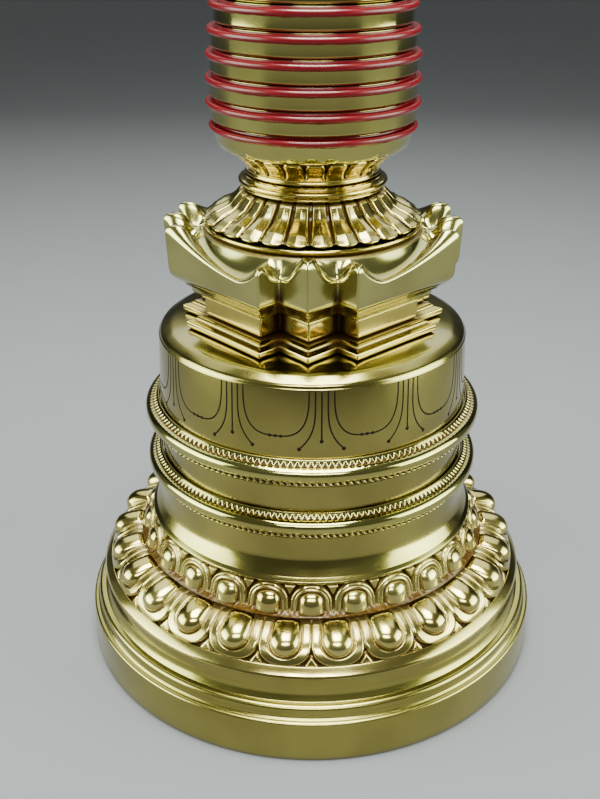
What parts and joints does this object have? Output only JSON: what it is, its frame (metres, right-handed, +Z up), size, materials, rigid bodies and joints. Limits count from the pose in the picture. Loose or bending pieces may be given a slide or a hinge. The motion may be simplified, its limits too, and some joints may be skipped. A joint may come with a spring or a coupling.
{
  "type": "brass reliquary stupa",
  "caption": "Tall cast brass reliquary stupa: lotus foot, bell dome with beaded rings, stepped block with horns, ringed spire and crown that lift off.",
  "frame": {"origin": "centre of the foot's underside, on the surface it stands on", "axes": "+Z up the object's axis; -Y towards the viewer, who looks at one outer corner of the stepped block; +X to the viewer's right"},
  "size_m": [0.15, 0.15, 0.302],
  "materials": {
    "cast_brass": "satin, clear-lacquered",
    "polished_brass": "bright polished, clear-lacquered",
    "patinated_brass": "polished on the high parts, dark brown patina in the hollows",
    "lacquered_ring_brass": "polished, with the groove above each ring painted deep crimson",
    "ring_lacquer": "deep crimson gloss lacquer",
    "copper_plate": "satin copper sheet",
    "pole_wood": "bare turned wood",
    "scroll_paper": "matt rolled paper"
  },
  "bodies": {
    "stupa_base": {"base_cover_plate": "copper_plate", "foot_plinth": "cast_brass", "large_lotus_ring": "patinated_brass", "small_lotus_ring": "patinated_brass", "bell_dome": "polished_brass", "lower_beaded_ring": "polished_brass", "upper_beaded_ring": "polished_brass", "harmika_plinth": "patinated_brass", "harmika_die": "patinated_brass", "harmika_cornice": "polished_brass", "salver_disc": "polished_brass", "life_pole": "pole_wood", "mantra_scroll": "scroll_paper", "spire_peg": "cast_brass"},
    "spire": {"ribbed_skirt": "patinated_brass", "neck_ring": "polished_brass", "lotus_cup": "patinated_brass", "spire_core_tube": "cast_brass", "spire_ring_01": "lacquered_ring_brass", "spire_ring_02": "lacquered_ring_brass", "spire_ring_03": "lacquered_ring_brass", "spire_ring_04": "lacquered_ring_brass", "spire_ring_05": "lacquered_ring_brass", "spire_ring_06": "lacquered_ring_brass", "spire_ring_07": "lacquered_ring_brass", "spire_ring_08": "lacquered_ring_brass", "spire_ring_09": "lacquered_ring_brass", "spire_ring_10": "lacquered_ring_brass", "spire_ring_11": "lacquered_ring_brass", "spire_ring_12": "lacquered_ring_brass", "spire_ring_13": "lacquered_ring_brass", "spire_cap": "cast_brass"},
    "crown": {"crown_pin": "cast_brass", "parasol": "cast_brass", "crown_knop": "cast_brass", "crescent_moon": "cast_brass", "sun_disc": "polished_brass", "jewel_finial": "polished_brass"}
  },
  "joints": [
    {"name": "spire_lift", "type": "slide", "parent": "stupa_base", "child": "spire", "axis": [0, 0, 1], "range_m": [0, 0.036]},
    {"name": "crown_lift", "type": "slide", "parent": "spire", "child": "crown", "axis": [0, 0, 1], "range_m": [0, 0.03]}
  ]
}
